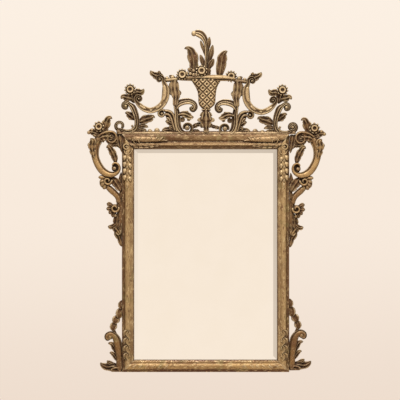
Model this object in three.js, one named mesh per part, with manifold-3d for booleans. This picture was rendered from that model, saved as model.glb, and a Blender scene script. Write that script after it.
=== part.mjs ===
// Wall mirror: a bevelled plate in a moulded frame of four mitred rails, with a pierced crest, two ears
// and two feet of carved wood fixed round it. Lengths are in millimetres. The origin is on the wall face
// of the top rail, at the rail's middle. X runs to the right, Z up, and the front faces -Y.

import * as THREE from 'three';
import { mergeVertices } from 'three/addons/utils/BufferGeometryUtils.js';
import Module from 'manifold-3d';

const wasm = await Module();
wasm.setup();

// The frame
const FRAME_WIDTH = 670;
const FRAME_HEIGHT = 953;
const STILE_WIDTH = 48;
const TOP_RAIL_WIDTH = 60;
const BOTTOM_RAIL_WIDTH = 48;
const RAIL_DEPTH = 36;
const REBATE_WIDTH = 8;
const REBATE_DEPTH = 14;
const GAP = 0.3;

// The plate and the board behind it
const PLATE_THICKNESS = 5;
const PLATE_EDGE_THICKNESS = 3.4;
const BEVEL_SHOWN = 16;
const PLATE_LAP = 6;
const BOARD_THICKNESS = 4;

// The carved work: where its flat back lies, and how far its parts stand out from the wall
const CARVING_BACK = 3;
const SCROLL_DEPTH = 30;
const LEAF_DEPTH = 24;
const FLOWER_DEPTH = 34;
const BERRY_DEPTH = 27;
const BASKET_DEPTH = 42;
const RIM_DEPTH = 47;
const STRIP_DEPTH = 38;

// The carving is set out on a sheet ruled in squares. A place on it is [u, v]: u squares to the right
// and v squares down from the sheet's top left corner.
const SQUARE = 4;
const SHEET_MIDDLE = 205.6;
const SHEET_MOUNT = 141.5;

// How far the right-hand carving strays from a true mirror image of the left, in squares
const CREST_STRAY = [0.6, 1.4];
const EAR_STRAY = [1, 0.8];
const FOOT_STRAY = [-0.2, -1.6];

const FRAME_TOP = TOP_RAIL_WIDTH / 2;
const FRAME_BOTTOM = FRAME_TOP - FRAME_HEIGHT;
const SIGHT_TOP = FRAME_TOP - TOP_RAIL_WIDTH;
const SIGHT_BOTTOM = FRAME_BOTTOM + BOTTOM_RAIL_WIDTH;
const SIGHT_HALF_WIDTH = FRAME_WIDTH / 2 - STILE_WIDTH;

// Outline of the moulding: share of the rail's width from its outer edge, share of its depth
const MOULDING = [
  [0, 0], [0, 0.62], [0.12, 0.74], [0.22, 0.92], [0.32, 1], [0.42, 0.94], [0.5, 0.84], [0.58, 0.86],
  [0.64, 0.98], [0.7, 0.96], [0.76, 0.82], [0.88, 0.62], [1, 0.55],
];

// Sections of the carved parts: share of the half width across, share of the depth
const HOLLOW_SECTION = [[-1, 0], [-0.84, 1], [0, 0.7], [0.84, 1], [1, 0]];
const RIDGE_SECTION = [[-1, 0], [-0.3, 1], [0.94, 0.62], [1, 0]];
const ROUND_SECTION = [[-1, 0], [-0.86, 0.66], [-0.36, 1], [0.36, 1], [0.86, 0.66], [1, 0]];

// Place on the sheet, as X and Z
function sheetPoint([u, v]) {
  return new THREE.Vector2((u - SHEET_MIDDLE) * SQUARE, (SHEET_MOUNT - v) * SQUARE);
}

// Both hands of a carved part: the left as drawn and the right mirrored, with its stray
const leftHand = (points) => points;
function rightHand([strayU, strayV]) {
  return (points) => points.map(([u, v]) => [2 * SHEET_MIDDLE - u + strayU, v + strayV]);
}

// Value at share t of the way along an evenly spaced list
function along(values, t) {
  const place = t * (values.length - 1);
  const before = Math.floor(place);
  const after = Math.min(before + 1, values.length - 1);
  return THREE.MathUtils.lerp(values[before], values[after], place - before);
}

function signedVolume(geometry) {
  const { position } = geometry.attributes;
  const corners = [0, 1, 2].map(() => new THREE.Vector3());
  let volume = 0;
  for (let i = 0; i < geometry.index.count; i += 3) {
    corners.forEach((corner, k) => corner.fromBufferAttribute(position, geometry.index.getX(i + k)));
    volume += corners[0].dot(corners[1].clone().cross(corners[2])) / 6;
  }
  return volume;
}

// Moves each vertex of a closed geometry and turns its faces outward
function reshape(geometry, move) {
  geometry.deleteAttribute('normal');
  geometry.deleteAttribute('uv');
  const shaped = mergeVertices(geometry);
  const { position } = shaped.attributes;
  const vertex = new THREE.Vector3();
  for (let i = 0; i < position.count; i += 1) {
    vertex.fromBufferAttribute(position, i);
    const moved = move(vertex);
    position.setXYZ(i, moved.x, moved.y, moved.z);
  }
  if (signedVolume(shaped) < 0) {
    shaped.index.array.reverse();
  }
  return shaped;
}

// Closed solid through rings of equally many corners, from ring(0) to ring(1), with flat or pointed ends
function ringSolid(sides, steps, ring, tipOf = middleOf) {
  const drum = new THREE.CylinderGeometry(1, 1, 1, sides, steps);
  return reshape(drum, (vertex) => {
    const t = Math.round((0.5 - vertex.y) * steps) / steps;
    const corners = ring(t);
    if (Math.hypot(vertex.x, vertex.z) < 0.5) {
      return tipOf(corners, t);
    }
    const turn = Math.atan2(vertex.x, vertex.z) / (2 * Math.PI);
    return corners[Math.round((turn + 1) * sides) % sides];
  });
}

function middleOf(corners) {
  const sum = corners.reduce((total, corner) => total.add(corner), new THREE.Vector3());
  return sum.divideScalar(corners.length);
}

// Carved band along a spine on the sheet: its half width in squares and its depth change along it
function band(spine, halfWidths, depths, { section = HOLLOW_SECTION, steps = 10 } = {}) {
  const curve = new THREE.SplineCurve(spine.map(sheetPoint));
  return ringSolid(section.length, steps, (t) => {
    const middle = curve.getPointAt(t);
    const ahead = curve.getTangentAt(t);
    const half = along(halfWidths, t) * SQUARE;
    const rise = along(depths, t) - CARVING_BACK;
    return section.map(([across, height]) => new THREE.Vector3(
      middle.x - ahead.y * across * half,
      -CARVING_BACK - height * rise,
      middle.y + ahead.x * across * half,
    ));
  });
}

// Lobed leaf along a spine: widest before its middle, notched between lobes, its tip turned forward
const BROAD_LEAF = 3.9;
const LEAF_NOTCH = 0.72;
function leaf(spine, halfWidth, depth = LEAF_DEPTH, steps = halfWidth < BROAD_LEAF ? 3 : 4) {
  const halfWidths = [];
  for (let station = 0; station <= steps; station += 1) {
    const swell = Math.sin(Math.PI * (0.2 + 0.74 * (station / steps)));
    const lobe = station % 2 === 1 ? 1 : LEAF_NOTCH;
    halfWidths.push(halfWidth * swell * lobe);
  }
  const depths = [depth * 0.75, depth * 0.9, depth * 0.85, depth];
  return band(spine, halfWidths, depths, { section: RIDGE_SECTION, steps });
}

// Round boss with a domed top, such as a volute's eye or a berry
const BOSS_SIDES = 6;
const BOSS_SHOULDER = 0.7;
function boss([u, v], radius, depth) {
  const middle = sheetPoint([u, v]);
  const shoulder = CARVING_BACK + BOSS_SHOULDER * (depth - CARVING_BACK);
  return ringSolid(BOSS_SIDES, 1, (t) => (
    circle(middle, BOSS_SIDES, () => radius * SQUARE, t < 0.5 ? CARVING_BACK : shoulder)
  ), raisedTip(depth));
}

function circle(middle, sides, radiusAt, depth) {
  return Array.from({ length: sides }, (_, k) => {
    const turn = (2 * Math.PI * k) / sides;
    const radius = radiusAt(k);
    return new THREE.Vector3(middle.x + radius * Math.sin(turn), -depth, middle.y + radius * Math.cos(turn));
  });
}

function raisedTip(depth) {
  return (corners, t) => {
    const tip = middleOf(corners);
    tip.y = t > 0.5 ? -depth : tip.y;
    return tip;
  };
}

// Daisy: petals as a star with a raised eye
const PETAL_NOTCH = 0.66;
function flower([u, v], radius, depth = FLOWER_DEPTH, petals = 7) {
  const middle = sheetPoint([u, v]);
  const sides = 2 * petals;
  const petalAt = (k) => radius * SQUARE * (k % 2 ? PETAL_NOTCH : 1);
  const star = ringSolid(sides, 1, (t) => (
    circle(middle, sides, petalAt, t < 0.5 ? CARVING_BACK : depth * 0.72)
  ), raisedTip(depth * 0.8));
  return [star, boss([u, v], radius * 0.34, depth)];
}

function toManifold(geometry) {
  const vertProperties = new Float32Array(geometry.attributes.position.array);
  const triVerts = new Uint32Array(geometry.index.array);
  return new wasm.Manifold(new wasm.Mesh({ numProp: 3, vertProperties, triVerts }));
}

function toGeometry(solid) {
  const mesh = solid.getMesh();
  const geometry = new THREE.BufferGeometry();
  geometry.setAttribute('position', new THREE.BufferAttribute(mesh.vertProperties, 3));
  geometry.setIndex(new THREE.BufferAttribute(mesh.triVerts, 1));
  geometry.computeVertexNormals();
  return geometry;
}

// Box between two corners
function boxBetween(low, high) {
  const box = new THREE.BoxGeometry(1, 1, 1);
  return reshape(box, (vertex) => new THREE.Vector3(
    vertex.x < 0 ? low[0] : high[0],
    vertex.y < 0 ? low[1] : high[1],
    vertex.z < 0 ? low[2] : high[2],
  ));
}

// Joins carved parts to one solid and trims it to the box that it may fill
function carving(parts, low, high) {
  const solids = parts.flat(Infinity).map(toManifold);
  const joined = solids.reduce((sum, solid) => sum.add(solid));
  return toGeometry(joined.intersect(toManifold(boxBetween(low, high))));
}

const REACH = 1000;

// Basket of flowers with its plume, in the middle of the crest
function basketAndPlume() {
  const body = band(
    [[206.4, 79], [206.6, 94], [206.6, 109.4]],
    [16.4, 11.8, 9.2, 8.4, 8.3, 4.6],
    [BASKET_DEPTH, BASKET_DEPTH, BASKET_DEPTH * 0.85],
    { section: ROUND_SECTION, steps: 5 },
  );
  const rim = band(
    [[175, 77.6], [190, 77.6], [206.4, 77.6], [222, 78], [236.5, 79]],
    [2, 3, 3, 3, 2],
    [LEAF_DEPTH, RIM_DEPTH * 0.9, RIM_DEPTH, RIM_DEPTH * 0.9, LEAF_DEPTH],
    { section: ROUND_SECTION, steps: 6 },
  );
  const plume = band(
    [[204.4, 73], [205.2, 62], [206, 52], [205.6, 43], [202.8, 36.4], [198.4, 33.2], [192.8, 33.4]],
    [2, 2.1, 2.3, 2.5, 2.8, 3.2, 3.2],
    [LEAF_DEPTH, SCROLL_DEPTH, SCROLL_DEPTH],
    { steps: 7 },
  );
  const feather = [
    boss([193, 33.5], 3.2, SCROLL_DEPTH * 1.1),
    leaf([[207, 74], [210, 64], [210.6, 52], [209.4, 37]], 3.8, LEAF_DEPTH, 5),
    leaf([[205, 59], [203, 50], [200, 41]], 2.2),
    leaf([[203.6, 70], [202, 62], [200, 54.6]], 2.2),
  ];
  const leaves = [
    leaf([[195.4, 77], [194.6, 62], [192.4, 53.4], [188.6, 48.6], [184.2, 48.6]], 5.6, LEAF_DEPTH, 5),
    leaf([[219.4, 78], [219.8, 68], [222, 59], [227.4, 50.4]], 5.2),
  ];
  const buds = [[190.4, 70.2], [196.4, 74.4]].map((at) => boss(at, 2.8, BERRY_DEPTH));
  const flowers = [flower([201.8, 70.6], 6.2), flower([182.2, 74.7], 6.2), flower([231.2, 76.3], 6.2)];
  const pendant = [
    leaf([[206, 108], [206, 120], [206.2, 133.8]], 7.4, SCROLL_DEPTH),
    leaf([[206, 112], [202, 116], [198, 120.4]], 3.4),
    leaf([[206, 112], [210.4, 116], [214.6, 120.4]], 3.4),
  ];
  return [body, rim, plume, feather, leaves, buds, flowers, pendant];
}

// One half of the crest, drawn for the left side
function crestHalf(hand) {
  const at = (point) => hand([point])[0];
  const cScroll = [
    band(
      hand([
        [159.5, 79], [164.4, 86], [165.7, 93.5], [163.5, 101.5], [158.3, 108], [150, 111], [142.2, 108],
        [137, 103.4], [136.4, 98],
      ]),
      [2.4, 3, 3.5, 3.3, 3, 2.8, 2.6, 2.6, 2],
      [SCROLL_DEPTH],
      { steps: 9 },
    ),
    boss(at([158.8, 79.2]), 3.5, SCROLL_DEPTH * 1.06),
    boss(at([138.4, 98.2]), 3.8, SCROLL_DEPTH * 1.06),
    leaf(hand([[160, 80], [154.6, 77.6], [149.4, 71]]), 4.2),
    leaf(hand([[161, 80], [159.6, 76], [158, 70.6]]), 2.6),
    boss(at([160.8, 113]), 3.6, BERRY_DEPTH),
    leaf(hand([[172, 110.6], [166, 110.4], [158.4, 113.6]]), 2.4),
  ];
  const outerScroll = [
    band(
      hand([
        [124, 105], [127.6, 103.4], [132, 106.6], [135.6, 112.6], [137, 120], [136, 127], [131.6, 132],
        [126, 132.6], [120.4, 130.8], [117, 126.5], [118.8, 122.8], [121.8, 124.6],
      ]),
      [1.4, 2.2, 2.7, 2.4, 2.3, 2.3, 2.1, 1.9, 1.7, 1.5],
      [SCROLL_DEPTH],
      { steps: 9 },
    ),
    boss(at([125.4, 105.4]), 3.3, SCROLL_DEPTH * 1.06),
    leaf(hand([[137, 121], [131, 118], [124.8, 112.4]]), 3.4),
    leaf(hand([[136, 127], [145.6, 122.4], [155.2, 116.2]]), 4.6),
    leaf(hand([[134, 131], [142, 129.6], [150, 125.4]]), 3),
  ];
  const flowerSpray = [
    leaf(hand([[131, 106], [130.6, 98], [130, 90]]), 3.4),
    flower(at([130, 89.6]), 5.9),
    leaf(hand([[130, 93], [138, 94], [144.8, 88.4]]), 3.8),
    leaf(hand([[132, 95], [126, 97.2], [119.8, 97.6]]), 3.4),
  ];
  const innerScroll = [
    band(
      hand([
        [191, 109.6], [195.6, 107], [194, 101.4], [187.6, 99.2], [180.6, 101], [175.8, 107.6], [174.8, 117],
        [176.2, 126], [180.6, 132], [186.6, 133], [190, 130],
      ]),
      [1.6, 1.9, 2.1, 2.1, 2.2, 2.3, 2.1],
      [SCROLL_DEPTH],
      { steps: 9 },
    ),
    boss(at([192.4, 106.2]), 3, SCROLL_DEPTH * 1.06),
    boss(at([186.9, 127.6]), 3.2, SCROLL_DEPTH * 1.06),
    leaf(hand([[174, 80], [177, 90], [175.6, 97], [171.4, 104.4]]), 5),
    leaf(hand([[176, 122], [183, 112.4], [193.4, 118.4]]), 3.8),
    leaf(hand([[176, 108], [170, 113], [165, 121.6]]), 4),
    leaf(hand([[177, 115], [172.4, 121], [169.4, 128]]), 3.8),
    leaf(hand([[179, 132.6], [170, 129.6], [160.4, 132.4]]), 2.8),
    leaf(hand([[203, 121.6], [197, 124], [189.4, 128]]), 2.4),
  ];
  const rimEnd = [
    band(hand([[177, 78], [170, 79], [161, 80.8]]), [2.2, 2, 2], [LEAF_DEPTH], { steps: 2 }),
    boss(at([172, 76.4]), 2.2, BERRY_DEPTH),
  ];
  const railBerries = [[148, 131.8], [157, 131.4]].map((place) => boss(at(place), 2.6, BERRY_DEPTH));
  return [cScroll, outerScroll, flowerSpray, innerScroll, rimEnd, railBerries];
}

// The crest stands on a low sole between these two places across the sheet
const SOLE_LEFT = 121;
const SOLE_RIGHT = 291;

function crest() {
  const sole = boxBetween(
    [sheetPoint([SOLE_LEFT, 0]).x, -LEAF_DEPTH, FRAME_TOP],
    [sheetPoint([SOLE_RIGHT, 0]).x, -CARVING_BACK, FRAME_TOP + SQUARE],
  );
  return carving(
    [basketAndPlume(), crestHalf(leftHand), crestHalf(rightHand(CREST_STRAY)), sole],
    [-REACH, -REACH, FRAME_TOP + GAP],
    [REACH, 0, REACH],
  );
}

// Ear on the outside of a stile, drawn for the left side
function earParts(hand) {
  const at = (point) => hand([point])[0];
  const scroll = [
    band(
      hand([
        [108.6, 143], [113, 143], [114.2, 138], [110.6, 134], [104.4, 133.8], [98.4, 137], [95, 144],
        [95, 152], [97, 160.4], [100.6, 168], [106.4, 173.6], [113, 175], [119, 172.6], [119.4, 167.6],
        [116, 164.6],
      ]),
      [1.4, 2, 2.2, 2.4, 3.4, 4.4, 4.3, 4.3, 4, 3.6, 3.2, 2.4, 1.6],
      [SCROLL_DEPTH],
      { steps: 12 },
    ),
    boss(at([110.6, 138.6]), 2.6, SCROLL_DEPTH * 1.06),
    boss(at([115.6, 168]), 3.2, SCROLL_DEPTH * 1.06),
    leaf(hand([[97, 153], [91.6, 149], [87.6, 145]]), 2.6),
    leaf(hand([[117.4, 168], [115, 155], [106.6, 146.4]]), 3.2),
    leaf(hand([[119.8, 153], [119.8, 142], [119.6, 134.4]]), 3),
    leaf(hand([[111, 143], [123, 151]]), 2.6),
  ];
  const topSpray = [
    leaf(hand([[100, 137], [98, 131], [98.6, 126.6]]), 3),
    flower(at([98.7, 126.6]), 5.6),
    leaf(hand([[103, 135], [105.8, 125], [112.4, 117.2]]), 4.6),
    leaf(hand([[100, 131], [93, 131.4], [87.4, 134.6]]), 3.6),
  ];
  const shell = [
    boss(at([107.7, 181]), 3.8, FLOWER_DEPTH),
    [[96.6, 177.6], [98.6, 183.6], [102.4, 188.4], [108, 190.6]].map((tip) => (
      leaf(hand([[109.4, 179.6], tip]), 3)
    )),
    leaf(hand([[110, 175], [115, 181], [121, 190]]), 3.6),
    band(
      hand([[106, 184], [110, 191], [115.4, 197.4], [118, 206]]),
      [2.8, 3, 3.4],
      [LEAF_DEPTH],
      { steps: 4 },
    ),
  ];
  const rosette = [
    flower(at([114.6, 208.4]), 7.4, FLOWER_DEPTH, 6),
    leaf(hand([[118.4, 212], [115, 222], [115.6, 229], [121.2, 247.6]]), 6.4, LEAF_DEPTH, 6),
    leaf(hand([[116.4, 219], [112, 220.6], [107.8, 226.6]]), 3),
  ];
  return [scroll, topSpray, shell, rosette];
}

function ear(hand, side) {
  const stileEdge = FRAME_WIDTH / 2 + GAP;
  const low = side < 0 ? [-REACH, -REACH, -REACH] : [stileEdge, -REACH, -REACH];
  const high = side < 0 ? [-stileEdge, 0, REACH] : [REACH, 0, REACH];
  return carving(earParts(hand), low, high);
}

// Foot on the outside of a stile's lower end, drawn for the left side
function footParts(hand) {
  const husks = [
    [[120.8, 300.6], [119.8, 311], 2.6], [[120.6, 308.6], [117.8, 319.6], 3.6],
    [[118.4, 316], [114.4, 326], 4.2], [[114.6, 322.4], [112.8, 332.6], 4],
  ];
  return [
    husks.map(([base, tip, halfWidth]) => leaf(hand([base, tip]), halfWidth)),
    band(
      hand([
        [110.4, 340.8], [106.9, 338.4], [107.2, 334.6], [111.4, 333.2], [116, 336.4], [118.4, 342],
        [119, 350], [119.2, 368],
      ]),
      [1.6, 2, 2.3, 2.5, 2.6, 2.8, 3, 3.2],
      [SCROLL_DEPTH],
      { steps: 7 },
    ),
    boss(hand([[109.8, 337]])[0], 3.2, SCROLL_DEPTH * 1.06),
    leaf(hand([[119, 356], [113.6, 347.6], [108, 343.2]]), 3.6),
    leaf(hand([[119.6, 363], [114.4, 357.6], [109.8, 353.2]]), 3.8),
    leaf(hand([[120, 366], [109, 367.6], [100.2, 362.4]]), 4.8),
    band(hand([[110, 369.6], [123, 369.6]]), [2.2, 2.2], [LEAF_DEPTH], { section: ROUND_SECTION, steps: 1 }),
  ];
}

function foot(hand, side) {
  const stileEdge = FRAME_WIDTH / 2 + GAP;
  const low = side < 0 ? [-REACH, -REACH, FRAME_BOTTOM] : [stileEdge, -REACH, FRAME_BOTTOM];
  const high = side < 0 ? [-stileEdge, 0, REACH] : [REACH, 0, REACH];
  return carving(footParts(hand), low, high);
}

// Moulded rail, mitred where it meets its neighbours. toWorld takes the distance in from the outer edge,
// the distance out from the wall and the distance along the rail from its middle.
function rail(width, length, startWidth, endWidth, toWorld) {
  const outline = MOULDING.map(([across, depth]) => new THREE.Vector2(across * width, depth * RAIL_DEPTH));
  outline.push(new THREE.Vector2(width, REBATE_DEPTH));
  outline.push(new THREE.Vector2(width - REBATE_WIDTH, REBATE_DEPTH));
  outline.push(new THREE.Vector2(width - REBATE_WIDTH, 0));
  const stick = new THREE.ExtrudeGeometry(new THREE.Shape(outline), { depth: 1, bevelEnabled: false });
  return reshape(stick, ({ x: inward, y: depth, z: end }) => {
    const neighbour = end < 0.5 ? startWidth : endWidth;
    const reach = length / 2 - GAP / 2 - (inward * neighbour) / width;
    return toWorld(inward, depth, end < 0.5 ? -reach : reach);
  });
}

function horizontalRail(width, edge, inwardSign) {
  return rail(width, FRAME_WIDTH, STILE_WIDTH, STILE_WIDTH, (inward, depth, distance) => (
    new THREE.Vector3(distance, -depth, edge + inwardSign * inward)
  ));
}

function uprightRail(side) {
  const middle = (FRAME_TOP + FRAME_BOTTOM) / 2;
  return rail(STILE_WIDTH, FRAME_HEIGHT, BOTTOM_RAIL_WIDTH, TOP_RAIL_WIDTH, (inward, depth, distance) => (
    new THREE.Vector3(side * (FRAME_WIDTH / 2 - inward), -depth, middle + distance)
  ));
}

// Leaf strips on the rails: each starts near a mitre and points at the rail's middle
function stripParts(strips) {
  return strips.map(([spine, halfWidth]) => leaf(spine, halfWidth, STRIP_DEPTH));
}

const TOP_STRIPS = [[[[139, 144], [168, 144]], 3], [[[275, 144.6], [244, 144]], 3]];
const BOTTOM_STRIPS = [[[[131, 366.6], [175, 366.6]], 2.4], [[[281, 366.2], [242, 366.2]], 2.4]];

function stileStrips(hand) {
  return stripParts([
    [hand([[127, 147], [127, 164]]), 3.4],
    [hand([[127, 162], [127, 176]]), 3],
    [hand([[127, 174], [127, 189]]), 2.6],
    [hand([[127, 359], [127, 345]]), 3.2],
    [hand([[127, 347], [127, 330]]), 2.8],
  ]);
}

function withStrips(bar, strips) {
  return toGeometry(strips.map(toManifold).reduce((sum, strip) => sum.add(strip), toManifold(bar)));
}

// Mirror plate with a bevelled margin, laid in the rebate
function mirrorPlate() {
  const faces = [
    { inset: 0, depth: REBATE_DEPTH - GAP - PLATE_THICKNESS },
    { inset: 0, depth: REBATE_DEPTH - GAP - PLATE_THICKNESS + PLATE_EDGE_THICKNESS },
    { inset: PLATE_LAP + BEVEL_SHOWN, depth: REBATE_DEPTH - GAP },
  ];
  const corners = [[-1, -1], [1, -1], [1, 1], [-1, 1]];
  const middle = (SIGHT_TOP + SIGHT_BOTTOM) / 2;
  const halfHeight = (SIGHT_TOP - SIGHT_BOTTOM) / 2 + PLATE_LAP;
  const halfWidth = SIGHT_HALF_WIDTH + PLATE_LAP;
  return ringSolid(corners.length, faces.length - 1, (t) => {
    const { inset, depth } = faces[Math.round(t * (faces.length - 1))];
    return corners.map(([right, up]) => new THREE.Vector3(
      right * (halfWidth - inset),
      -depth,
      middle + up * (halfHeight - inset),
    ));
  });
}

function backBoard() {
  const front = REBATE_DEPTH - 2 * GAP - PLATE_THICKNESS;
  return boxBetween(
    [-SIGHT_HALF_WIDTH - PLATE_LAP, -front, SIGHT_BOTTOM - PLATE_LAP],
    [SIGHT_HALF_WIDTH + PLATE_LAP, BOARD_THICKNESS - front, SIGHT_TOP + PLATE_LAP],
  );
}

const FINISHES = {
  gilt: { color: 0x9b7d58, roughness: 0.48, metalness: 0.55 },
  glass: { color: 0xe9ecea, roughness: 0.03, metalness: 1 },
  board: { color: 0x6f5236, roughness: 0.85, metalness: 0 },
};

const model = new THREE.Group();

function addNode(name, geometry, finish) {
  const mesh = new THREE.Mesh(geometry, new THREE.MeshStandardMaterial(FINISHES[finish]));
  mesh.name = name;
  model.add(mesh);
}

addNode(
  'top_rail',
  withStrips(horizontalRail(TOP_RAIL_WIDTH, FRAME_TOP, -1), stripParts(TOP_STRIPS)),
  'gilt',
);
addNode(
  'bottom_rail',
  withStrips(horizontalRail(BOTTOM_RAIL_WIDTH, FRAME_BOTTOM, 1), stripParts(BOTTOM_STRIPS)),
  'gilt',
);
addNode('left_stile', withStrips(uprightRail(-1), stileStrips(leftHand)), 'gilt');
addNode('right_stile', withStrips(uprightRail(1), stileStrips(rightHand([0, 0]))), 'gilt');
addNode('crest', crest(), 'gilt');
addNode('left_ear', ear(leftHand, -1), 'gilt');
addNode('right_ear', ear(rightHand(EAR_STRAY), 1), 'gilt');
addNode('left_foot', foot(leftHand, -1), 'gilt');
addNode('right_foot', foot(rightHand(FOOT_STRAY), 1), 'gilt');
addNode('mirror_plate', mirrorPlate(), 'glass');
addNode('back_board', backBoard(), 'board');

export default model;
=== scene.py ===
"""Wall mirror in an aged silver-gilt frame, with carved crest, ears, feet and rails.

Lengths are in metres: X to the right, Z up, the front facing -Y. The carving is set out on a sheet ruled
in squares: (u, v) is u squares to the right and v down, and a spine is a list of (u, v, half width).
"""

import math

import bmesh
import bpy
import numpy as np
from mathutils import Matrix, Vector


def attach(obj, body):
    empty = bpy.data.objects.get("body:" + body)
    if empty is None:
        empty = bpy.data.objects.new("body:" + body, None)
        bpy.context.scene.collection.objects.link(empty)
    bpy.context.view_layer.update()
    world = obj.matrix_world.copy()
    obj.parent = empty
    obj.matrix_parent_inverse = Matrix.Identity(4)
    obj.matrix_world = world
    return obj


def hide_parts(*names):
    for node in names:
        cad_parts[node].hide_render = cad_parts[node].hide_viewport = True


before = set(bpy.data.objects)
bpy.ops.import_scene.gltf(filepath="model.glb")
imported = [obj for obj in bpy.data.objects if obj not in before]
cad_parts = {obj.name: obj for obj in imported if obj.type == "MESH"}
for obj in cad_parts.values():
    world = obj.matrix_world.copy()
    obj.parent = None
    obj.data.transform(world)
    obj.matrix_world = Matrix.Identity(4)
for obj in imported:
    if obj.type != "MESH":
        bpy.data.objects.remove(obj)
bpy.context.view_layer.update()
scene = bpy.context.scene

# The frame
FRAME_WIDTH = 0.670
FRAME_HEIGHT = 0.953
STILE_WIDTH = 0.048
TOP_RAIL_WIDTH = 0.060
BOTTOM_RAIL_WIDTH = 0.048
RAIL_DEPTH = 0.036
REBATE_WIDTH = 0.008
REBATE_DEPTH = 0.014
GAP = 0.0003
FRAME_TOP = TOP_RAIL_WIDTH / 2
FRAME_BOTTOM = FRAME_TOP - FRAME_HEIGHT

# How far the carved parts stand out from the wall
CARVING_BACK = 0.003
C_DEPTH = 0.032
SCROLL_DEPTH = 0.028
LEAF_DEPTH = 0.0266
FLOWER_DEPTH = 0.034
BERRY_DEPTH = 0.027
BASKET_DEPTH = 0.036
RIM_DEPTH = 0.047
STRIP_DEPTH = 0.0385
LEAF_THICKNESS = 0.015

# The setting-out sheet, and the least half width of a carved line on it, in squares
SQUARE = 0.004
SHEET_MIDDLE = 205.6
SHEET_MOUNT = 141.5
LEAST_HALF = 0.4

# Steps between two points of a curve, and the share of its length that its direction is read over
SPAN_STEPS = 16
DIRECTION_REACH = 0.004


def placed(u, v, depth):
    """Points in the frame for places on the sheet"""
    u, v, depth = np.broadcast_arrays(u, v, depth)
    return np.stack([(u - SHEET_MIDDLE) * SQUARE, -depth, (SHEET_MOUNT - v) * SQUARE], -1)


def smooth_curve(points):
    """Dense points of a smooth curve through the given ones"""
    knots = np.asarray(points, float)
    knots = np.vstack([2 * knots[0] - knots[1], knots, 2 * knots[-1] - knots[-2]])
    t = np.linspace(0, 1, SPAN_STEPS, endpoint=False)[:, None]
    spans = []
    for a, b, c, d in zip(knots, knots[1:], knots[2:], knots[3:]):
        square = 2 * a - 5 * b + 4 * c - d
        cube = 3 * (b - c) + d - a
        spans.append(0.5 * (2 * b + (c - a) * t + square * t**2 + cube * t**3))
    return np.vstack([*spans, knots[-2:-1]])


class Path:
    """Smooth curve through points, which can be read at any share of its length"""

    def __init__(self, points):
        self.points = smooth_curve(points)
        steps = np.linalg.norm(np.diff(self.points[:, :2], axis=0), axis=1)
        self.at = np.concatenate([[0], np.cumsum(steps)])
        self.length = self.at[-1]

    def place(self, share):
        """Place and sideways direction at each share"""
        where = np.asarray(share) * self.length
        reach = DIRECTION_REACH * self.length
        here, before, after = (
            np.stack([np.interp(where + shift, self.at, self.points[:, k]) for k in (0, 1)], -1)
            for shift in (0, -reach, reach)
        )
        ahead = after - before
        ahead /= np.linalg.norm(ahead, axis=-1, keepdims=True)
        return here, np.stack([-ahead[..., 1], ahead[..., 0]], -1)

    def half_width(self, share):
        return np.maximum(np.interp(np.asarray(share) * self.length, self.at, self.points[:, 2]), LEAST_HALF)


def spread(values, share):
    """Evenly spaced values read at each share"""
    return np.interp(share, np.linspace(0, 1, len(values)), values)


def ring_shell(rings):
    """Closed shell through rings of equally many corners, its two ends filled"""
    count, sides = rings.shape[:2]
    points = np.vstack([rings.reshape(-1, 3), rings[0].mean(0), rings[-1].mean(0)])
    ring, side = np.meshgrid(np.arange(count - 1) * sides, np.arange(sides), indexing="ij")
    after = (side + 1) % sides
    a, b, c, d = ring + side, ring + after, ring + sides + after, ring + sides + side
    first, last = count * sides, count * sides + 1
    end = (count - 1) * sides
    k = np.arange(sides)
    faces = np.concatenate([
        np.stack([a, b, c], -1).reshape(-1, 3),
        np.stack([a, c, d], -1).reshape(-1, 3),
        np.stack([np.full(sides, first), (k + 1) % sides, k], -1),
        np.stack([np.full(sides, last), end + k, end + (k + 1) % sides], -1),
    ])
    corners = points[faces]
    volume = np.einsum("ij,ij->i", corners[:, 0], np.cross(corners[:, 1], corners[:, 2])).sum()
    return points, faces if volume > 0 else faces[:, ::-1]


def section(points, count=24):
    """Smooth section of a band: share of the half width across, share of the depth"""
    return Path(points).place(np.linspace(0, 1, count))[0]


HOLLOW = section([
    (-0.7, 0), (-0.96, 0.3), (-1, 0.7), (-0.88, 0.96), (-0.68, 0.98), (-0.4, 0.84), (0, 0.76), (0.4, 0.84),
    (0.68, 0.98), (0.88, 0.96), (1, 0.7), (0.96, 0.3), (0.7, 0),
])
RIBBED = section([
    (-0.7, 0), (-0.97, 0.34), (-1, 0.66), (-0.84, 0.8), (-0.68, 0.74), (-0.56, 0.66), (-0.44, 0.8),
    (-0.16, 0.94), (0.06, 0.9), (0.2, 0.74), (0.32, 0.74), (0.46, 0.94), (0.7, 1), (0.9, 0.88), (1, 0.62),
    (0.97, 0.3), (0.7, 0),
], 34)
STEPPED = section([
    (-0.7, 0), (-0.97, 0.26), (-1, 0.46), (-0.9, 0.54), (-0.66, 0.48), (-0.34, 0.48), (-0.2, 0.82), (0, 0.93),
    (0.14, 0.86), (0.26, 0.82), (0.42, 0.96), (0.7, 1), (0.9, 0.9), (1, 0.66), (0.97, 0.3), (0.7, 0),
], 32)
SMOOTH = section([
    (-0.7, 0), (-0.97, 0.32), (-1, 0.6), (-0.93, 0.82), (-0.82, 0.86), (-0.68, 0.74), (-0.54, 0.84),
    (-0.3, 0.96), (0.1, 1), (0.5, 0.98), (0.78, 0.9), (0.94, 0.78), (1, 0.6), (0.97, 0.3), (0.7, 0),
], 28)
ROUND = section([
    (-0.8, 0), (-1, 0.3), (-0.94, 0.62), (-0.7, 0.86), (-0.3, 0.98), (0, 1), (0.3, 0.98), (0.7, 0.86),
    (0.94, 0.62), (1, 0.3), (0.8, 0),
], 18)


def mirrored(shape):
    """Section turned left for right"""
    return shape[::-1] * [-1, 1]


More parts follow.
